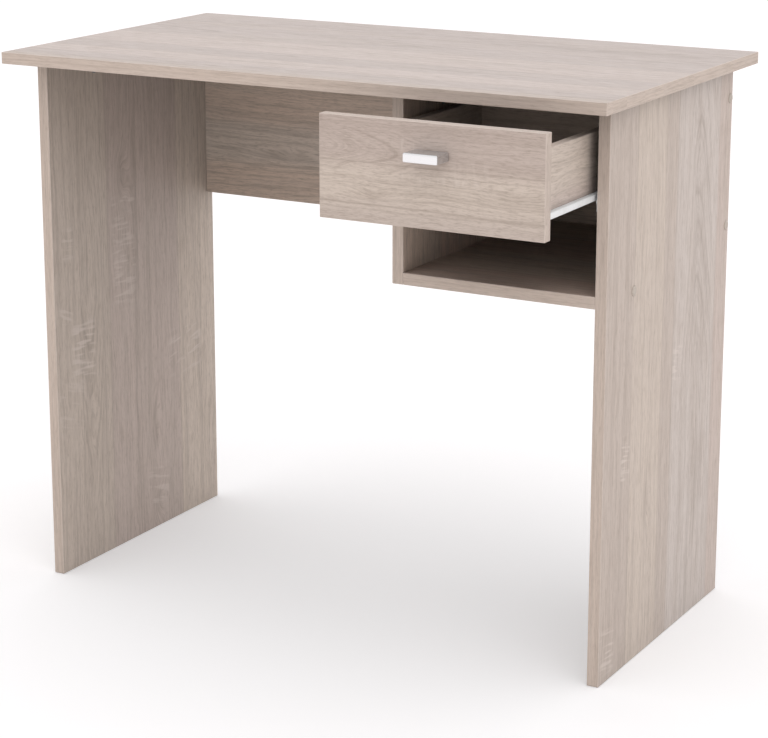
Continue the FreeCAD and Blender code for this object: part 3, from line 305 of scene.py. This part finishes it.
def boardMaterial(name, plan):
    look, seed, depth, fine = boardLook, plan["seed"], plan["depth"], plan["fine"]
    material, tree, shader = newMaterial(name)
    whole, place, facing = placeAndFacing(tree)
    along, across, through = (place["xyz".index(axis)] for axis in plan["axes"])
    turned = [facing["xyz".index(axis)] for axis in plan["axes"]]
    onEnd, onSide, onFace = (calc(tree, "GREATER_THAN", calc(tree, "ABSOLUTE", normal), look["squareTo"])
                             for normal in turned)
    flat = calc(tree, "MAXIMUM", onFace, calc(tree, "MAXIMUM", onEnd, onSide))
    behind = calc(tree, "GREATER_THAN", turned[2], 0.0)

    def times(first, second):
        return calc(tree, "MULTIPLY", first, second)

    def offset(value, middle):
        return calc(tree, "SUBTRACT", value, middle)

    def within(value, half, soft):
        return spread(tree, calc(tree, "ABSOLUTE", value), half * (1 - soft), half * (1 + soft), 1.0, 0.0)

    # u runs with the grain and v across it; the edge bands carry their own print
    u = calc(tree, "ADD", along, times(onEnd, offset(across, along)))
    bandV = calc(tree, "ADD", times(through, look["bandStretch"]), look["bandStart"] + seed)
    v = calc(tree, "ADD", bandV, times(onFace, offset(across, bandV)))
    run = times(behind, look["rearStep"])

    def grain(size, layer, line, detail, roughness):
        length, width = size
        vector = point(tree, calc(tree, "DIVIDE", u, length), calc(tree, "DIVIDE", line, width),
                       calc(tree, "ADD", run, seed * look["seedStep"] + layer * look["layerStep"]))
        return noise(tree, vector, detail, roughness)

    # staves, each with its tone and its own run of the print
    stray = offset(grain(look["stray"], 1, v, 1.0, 0.55), 0.5)
    wander = calc(tree, "MULTIPLY_ADD", stray, look["strayReach"], across)
    starts, nearTones = zip(*plan["staves"])
    farTones = plan.get("farTones", nearTones)
    tones = [look[near] if near == far else blendColour(tree, behind, look[near], look[far])
             for near, far in zip(nearTones, farTones)]
    colour = tones[0]
    joints = 0.0
    for start, tone in zip(starts[1:], tones[1:]):
        step = spread(tree, wander, start - plan["soft"], start + plan["soft"])
        colour = blendColour(tree, step, colour, tone)
        run = calc(tree, "ADD", run, times(calc(tree, "GREATER_THAN", wander, start), look["staveStep"]))
        seam = within(offset(wander, start), look["jointHalf"], look["jointSoft"])
        joints = calc(tree, "MAXIMUM", joints, seam)
    colour = blendColour(tree, onFace, look["edge"], colour)

    # the line of the grain: slow bends, small waves and knots
    bend = times(offset(grain(look["bend"], 2, v, 2.0, 0.55), 0.5), look["bendReach"])
    wave = times(offset(grain(look["wave"], 3, v, 1.0, 0.55), 0.5), look["waveReach"])
    share = calc(tree, "MULTIPLY_ADD", onFace, 1.0 - look["edgeBend"], look["edgeBend"])
    line = calc(tree, "ADD", v, times(calc(tree, "ADD", bend, wave), share))
    core = 0.0
    for middleU, middleV, halfU, halfV, lift, dark in plan["knots"]:
        du = calc(tree, "DIVIDE", offset(u, middleU), halfU)
        dv = calc(tree, "DIVIDE", offset(v, middleV), halfV)
        far = calc(tree, "MULTIPLY_ADD", du, du, times(dv, dv))
        hill = calc(tree, "EXPONENT", times(far, -1.0))
        line = calc(tree, "MULTIPLY_ADD", hill, lift, line)
        core = calc(tree, "MAXIMUM", core, spread(tree, hill, *look["knotRange"], 0.0, dark))

    # growth rings, straight but for the arches laid over them
    rings = grain(look["ring"], 4, line, 3.0, 0.6)
    arched = 0.0
    archSize = (look["arch"][0], look["arch"][1] * fine)
    for number, (middleU, middleV, halfU, halfV, steep, crown, skew) in enumerate(plan["arches"]):
        side = offset(line, middleV)
        uneven = calc(tree, "MULTIPLY_ADD", calc(tree, "ABSOLUTE", side), -skew, side)
        crest = calc(tree, "SQRT", calc(tree, "MULTIPLY_ADD", uneven, uneven, crown ** 2))
        climb = calc(tree, "DIVIDE", offset(u, middleU), steep)
        arch = calc(tree, "ADD", calc(tree, "ADD", climb, look["archStart"]), crest)
        heldV = within(side, halfV, look["archSoft"])
        heldU = within(offset(u, middleU), halfU, look["archSoft"])
        there = times(times(heldV, heldU), onFace)
        archRings = grain(archSize, 8 + number, arch, 3.0, 0.6)
        rings = calc(tree, "MULTIPLY_ADD", offset(archRings, rings), there, rings)
        arched = calc(tree, "MAXIMUM", arched, there)

    # tone of the print: blush, rings, fibres, pores, then joints and knots
    fibres = grain((plan["fibre"], look["fibreWidth"] * fine), 5, line, 2.0, 0.6)
    pores = grain([size * fine for size in look["pore"]], 6, line, 1.0, 0.5)
    blush = grain(look["blush"], 7, line, 2.0, 0.5)
    blushShade = spread(tree, blush, *look["blushRange"], 0.0, look["blushDepth"])
    colour = blendColour(tree, blushShade, colour, look["dusk"])
    ringTop = calc(tree, "MULTIPLY_ADD", arched, look["archDepth"] * fine - 1.0, 1.0)
    ringTop = times(ringTop, look["ringDepth"] * depth)
    ringShade = spread(tree, rings, *look["ringRange"], 0.0, ringTop)
    fibreShade = spread(tree, fibres, *look["fibreRange"], 0.0, look["fibreDepth"] * depth)
    poreShade = spread(tree, pores, *look["poreRange"], 0.0, look["poreDepth"] * depth)
    for shade in (ringShade, fibreShade, poreShade):
        colour = blendColour(tree, shade, colour, look["fibre"])
    streaked = times(core, spread(tree, fibres, *look["knotStreaks"], look["streakLeast"], 1.0))
    marked = calc(tree, "MAXIMUM", times(joints, look["jointDepth"] * depth), streaked)
    colour = blendColour(tree, times(marked, onFace), colour, look["fibre"])

    # rows of short pale rungs left by the saw, square to the grain
    softU, softV = look["rungSoft"]
    for number, (middleU, middleV, halfU, halfV, slant, strength) in enumerate(plan["rungs"]):
        du, dv = offset(u, middleU), offset(wander, middleV)
        held = times(within(du, halfU, softU), within(dv, halfV, softV))
        row = calc(tree, "DIVIDE", calc(tree, "MULTIPLY_ADD", dv, slant, du), look["rungPitch"])
        spot = point(tree, row, times(dv, look["rungBreaks"]), seed + number * look["rungStep"])
        pale = spread(tree, noise(tree, spot, 1.0, 0.5), *look["rungRange"], 0.0, strength)
        colour = blendColour(tree, times(times(held, pale), onFace), colour, look["rubbed"])

    # rubbed arrises
    patchy = noise(tree, whole, 2.0, 0.6, look["rubbedPatches"])
    patchy = spread(tree, patchy, *look["rubbedRange"], *look["rubbedDepth"])
    colour = blendColour(tree, times(offset(1.0, flat), patchy), colour, look["rubbed"])

    tree.links.new(colour, shader.inputs["Base Color"])
    rough = spread(tree, fibres, *look["roughRange"], *look["roughness"])
    tree.links.new(rough, shader.inputs["Roughness"])
    shader.inputs["Specular IOR Level"].default_value = look["gloss"]
    hollow = times(calc(tree, "ADD", poreShade, fibreShade), -1.0)
    bumped(tree, shader, hollow, look["bump"], look["bumpHeight"])
    return material


for name, plan in boards.items():
    dress([name], boardMaterial("faced_" + name, plan))
print("boards dressed:", len(boards))


# the pull: polished face, satin plate round it; the front's paler colour is a painted highlight and the
# sides' darker colour is painted shade

pullLook = {
    # front: paler colour, a painted highlight; sides: darker colour, painted shade; polish and satin
    # roughness are real
    "front": (0.83, 0.818, 0.823, 1.0),
    "sides": (0.69, 0.705, 0.725, 1.0),
    "handled": (0.61, 0.625, 0.645, 1.0),     # where fingers have dulled the sides
    "handledPatches": 120.0,                  # per metre
    "handledRange": (0.4, 0.7),
    "handledMost": 0.7,
    "polishedAndHighlightFacing": (-0.45, -0.8),          # from satin with painted shade to polished with painted highlight as a face turns to the front
    "frontRough": 0.08,
    "sideRough": (0.24, 0.4),
    "brush": (0.02, 0.00025),                 # length and width of a stroke
    "brushRange": (0.3, 0.7),
    "frontBrush": 0.1,                        # share of the strokes on the polished face
    "bump": 0.05,
    "bumpHeight": 0.0002,
}


def pullMaterial(name):
    look = pullLook
    material, tree, shader = newMaterial(name)
    whole, (x, y, z), facing = placeAndFacing(tree)
    polishedWithPaintedHighlight = spread(tree, facing[1], *look["polishedAndHighlightFacing"])
    length, width = look["brush"]
    stroke = point(tree, calc(tree, "DIVIDE", x, length), calc(tree, "DIVIDE", y, width),
                   calc(tree, "DIVIDE", z, width))
    brushed = noise(tree, stroke, 2.0, 0.6)
    worn = noise(tree, whole, 3.0, 0.6, look["handledPatches"])
    worn = spread(tree, worn, *look["handledRange"], 0.0, look["handledMost"])
    sides = blendColour(tree, worn, look["sides"], look["handled"])
    # the colour steps from painted shade on the sides to a painted highlight on the front
    tree.links.new(blendColour(tree, polishedWithPaintedHighlight, sides, look["front"]), shader.inputs["Base Color"])
    sideRough = spread(tree, brushed, *look["brushRange"], *look["sideRough"])
    rough = spread(tree, polishedWithPaintedHighlight, 0.0, 1.0, sideRough, look["frontRough"], False)
    tree.links.new(rough, shader.inputs["Roughness"])
    shader.inputs["Metallic"].default_value = 1.0
    share = spread(tree, polishedWithPaintedHighlight, 0.0, 1.0, 1.0, look["frontBrush"], False)
    bumped(tree, shader, calc(tree, "MULTIPLY", brushed, share), look["bump"], look["bumpHeight"])
    return material


dress(["drawer_handle"], pullMaterial("polished_pull_with_painted_highlight"))


# runners, rollers and fittings: one colour, worn in patches, with a fine speckle

wearLook = {
    "colourRange": (0.42, 0.72),
    "colourMost": 0.8,
    "roughRange": (0.3, 0.7),
    "speckRough": 0.04,
    "bumpHeight": 0.0002,
}


def wornMaterial(name, look):
    material, tree, shader = newMaterial(name)
    coords = tree.nodes.new("ShaderNodeTexCoord").outputs["Object"]
    speck = noise(tree, coords, 3.0, 0.6, look["speck"])
    wear = noise(tree, coords, 4.0, 0.6, look["wear"])
    worn = spread(tree, wear, *wearLook["colourRange"], 0.0, wearLook["colourMost"])
    tree.links.new(blendColour(tree, worn, look["base"], look["worn"]), shader.inputs["Base Color"])
    rough = spread(tree, wear, *wearLook["roughRange"], *look["roughness"])
    rough = calc(tree, "ADD", rough, calc(tree, "MULTIPLY", speck, wearLook["speckRough"]))
    tree.links.new(rough, shader.inputs["Roughness"])
    shader.inputs["Metallic"].default_value = look["metallic"]
    bumped(tree, shader, speck, look["bump"], wearLook["bumpHeight"])
    return material


runnerLook = {
    "base": linear(244, 245, 246),
    "worn": linear(230, 230, 229),
    "roughness": (0.28, 0.42),
    "metallic": 0.0,
    "speck": 1400.0,     # speckle and patches of wear, both per metre
    "wear": 45.0,
    "bump": 0.04,
}
dress(["left_cabinet_runner", "right_cabinet_runner", "left_drawer_runner", "right_drawer_runner"],
      wornMaterial("white_runner_coat", runnerLook))

rollerLook = {
    "base": linear(226, 226, 221),
    "worn": linear(205, 203, 196),
    "roughness": (0.35, 0.5),
    "metallic": 0.0,
    "speck": 900.0,
    "wear": 70.0,
    "bump": 0.05,
}
dress(["left_cabinet_roller", "right_cabinet_roller", "left_drawer_roller", "right_drawer_roller"],
      wornMaterial("roller_nylon", rollerLook))

screwLook = {
    "base": (0.62, 0.63, 0.64, 1.0),
    "worn": (0.5, 0.5, 0.5, 1.0),
    "roughness": (0.25, 0.42),
    "metallic": 1.0,
    "speck": 1600.0,
    "wear": 160.0,
    "bump": 0.08,
}
dress(["carcass_screws", "cabinet_runner_screws", "drawer_runner_screws", "cam_bolts", "drawer_cam_bolts",
       "handle_screws", "drawer_back_screws", "drawer_bottom_screws", "cabinet_roller_rivets",
       "drawer_roller_rivets"],
      wornMaterial("zinc_plate", screwLook))

camLook = {
    "base": (0.5, 0.51, 0.53, 1.0),
    "worn": (0.4, 0.41, 0.43, 1.0),
    "roughness": (0.32, 0.5),
    "metallic": 1.0,
    "speck": 1200.0,
    "wear": 120.0,
    "bump": 0.12,
}
dress(["cam_locks", "drawer_cam_locks"], wornMaterial("cam_alloy", camLook))

capLook = {
    "base": linear(196, 184, 173),
    "worn": linear(182, 168, 156),
    "roughness": (0.38, 0.55),
    "metallic": 0.0,
    "speck": 1500.0,
    "wear": 200.0,
    "bump": 0.05,
}
dress(["cover_caps"], wornMaterial("cap_plastic", capLook))

dowelLook = {
    "base": linear(214, 186, 150),
    "worn": linear(190, 158, 120),
    "roughness": (0.6, 0.75),
    "metallic": 0.0,
    "speck": 1800.0,
    "wear": 260.0,
    "bump": 0.1,
}
dress(["wood_dowels", "drawer_dowels"], wornMaterial("bare_beech", dowelLook))
print("hardware dressed")


# floor, light and camera

floorLook = {
    "half": 9.0,
    "drop": 0.0003,                       # below the feet, so that the faces don't share a plane
    "colour": (0.92, 0.88, 0.85, 1.0),    # as it lights the desk
    "seen": (0.895, 0.875, 0.873, 1.0),   # part of the floor that the lens sees as shaded
    "glow": 0.262,                        # and the part that it sees as plain white
    "glowTint": (1.0, 0.985, 0.99, 1.0),
}

lightLook = {
    "skyLow": 0.7,                        # a soft dome, brighter overhead
    "skyHigh": 1.06,
    "skyLowTint": (1.0, 0.99, 0.985, 1.0),
    "skyHighTint": (0.975, 0.985, 1.0, 1.0),
    "backdrop": (1.0, 1.0, 1.0, 1.0),
    "keyPlace": (2.4, -2.4, 4.4),
    "keyAim": (0.0, 0.0, 0.4),
    "keySize": 3.2,
    "keyPower": 25.0,
}

cameraLook = {
    "place": (1.55795, -2.69627, 1.20445),
    "turn": 0.5098,
    "tilt": -0.2391,
    "lens": 109.85,
    "sensor": 36.0,
    "shift": -0.1,
    "near": 0.05,
    "far": 60.0,
}


def seenOutright(tree):
    # rays that reach the white surroundings straight from the lens, off metal or through glass
    path = tree.nodes.new("ShaderNodeLightPath")
    direct = calc(tree, "MAXIMUM", path.outputs["Is Camera Ray"], path.outputs["Is Glossy Ray"])
    return calc(tree, "MAXIMUM", direct, path.outputs["Is Transmission Ray"])


def lightOrLook(tree, lighting, seen, output):
    # one shader for what lights the desk, another for what is seen
    either = tree.nodes.new("ShaderNodeMixShader")
    put(tree, either.inputs[0], seenOutright(tree))
    tree.links.new(lighting.outputs[0], either.inputs[1])
    tree.links.new(seen.outputs[0], either.inputs[2])
    tree.links.new(either.outputs[0], tree.nodes.new(output).inputs["Surface"])


def makeFloor():
    look = floorLook
    half = look["half"]
    corners = [(-half, -half, 0), (half, -half, 0), (half, half, 0), (-half, half, 0)]
    mesh = bpy.data.meshes.new("floor")
    mesh.from_pydata(corners, [], [(0, 1, 2, 3)])
    floor = bpy.data.objects.new("floor", mesh)
    scene.collection.objects.link(floor)
    floor.location.z = -look["drop"]
    material = bpy.data.materials.new("pale_floor")
    material.use_nodes = True
    tree = material.node_tree
    tree.nodes.clear()
    matt = tree.nodes.new("ShaderNodeBsdfDiffuse")
    matt.inputs["Color"].default_value = look["colour"]
    faint = tree.nodes.new("ShaderNodeBsdfDiffuse")
    faint.inputs["Color"].default_value = look["seen"]
    glow = tree.nodes.new("ShaderNodeEmission")
    glow.inputs["Color"].default_value = look["glowTint"]
    glow.inputs["Strength"].default_value = look["glow"]
    seen = tree.nodes.new("ShaderNodeAddShader")
    tree.links.new(faint.outputs[0], seen.inputs[0])
    tree.links.new(glow.outputs[0], seen.inputs[1])
    lightOrLook(tree, matt, seen, "ShaderNodeOutputMaterial")
    mesh.materials.append(material)


def makeLight():
    look = lightLook
    world = bpy.data.worlds.new("studio")
    scene.world = world
    world.use_nodes = True
    tree = world.node_tree
    tree.nodes.clear()
    direction = tree.nodes.new("ShaderNodeSeparateXYZ")
    tree.links.new(tree.nodes.new("ShaderNodeTexCoord").outputs["Generated"], direction.inputs[0])
    rise = spread(tree, direction.outputs[2], 0.0, 1.0, smooth=False)
    dome = tree.nodes.new("ShaderNodeBackground")
    put(tree, dome.inputs["Color"], blendColour(tree, rise, look["skyLowTint"], look["skyHighTint"]))
    strength = spread(tree, rise, 0.0, 1.0, look["skyLow"], look["skyHigh"], False)
    put(tree, dome.inputs["Strength"], strength)
    plain = tree.nodes.new("ShaderNodeBackground")
    plain.inputs["Color"].default_value = look["backdrop"]
    lightOrLook(tree, dome, plain, "ShaderNodeOutputWorld")

    lamp = bpy.data.lights.new("key", "AREA")
    lamp.energy = look["keyPower"]
    lamp.size = look["keySize"]
    key = bpy.data.objects.new("key", lamp)
    scene.collection.objects.link(key)
    aimX, aimY, aimZ = (end - start for start, end in zip(look["keyPlace"], look["keyAim"]))
    key.location = look["keyPlace"]
    key.rotation_euler = (math.atan2(math.hypot(aimX, aimY), -aimZ), 0, math.atan2(-aimX, aimY))


def makeCamera():
    look = cameraLook
    lens = bpy.data.cameras.new("camera")
    lens.sensor_fit = "HORIZONTAL"
    lens.sensor_width = look["sensor"]
    lens.lens = look["lens"]
    lens.shift_y = look["shift"]
    lens.clip_start = look["near"]
    lens.clip_end = look["far"]
    camera = bpy.data.objects.new("camera", lens)
    camera.location = look["place"]
    camera.rotation_euler = (math.pi / 2 + look["tilt"], 0, look["turn"])
    scene.collection.objects.link(camera)
    scene.camera = camera


makeFloor()
makeLight()
makeCamera()
print("floor, light and camera set")
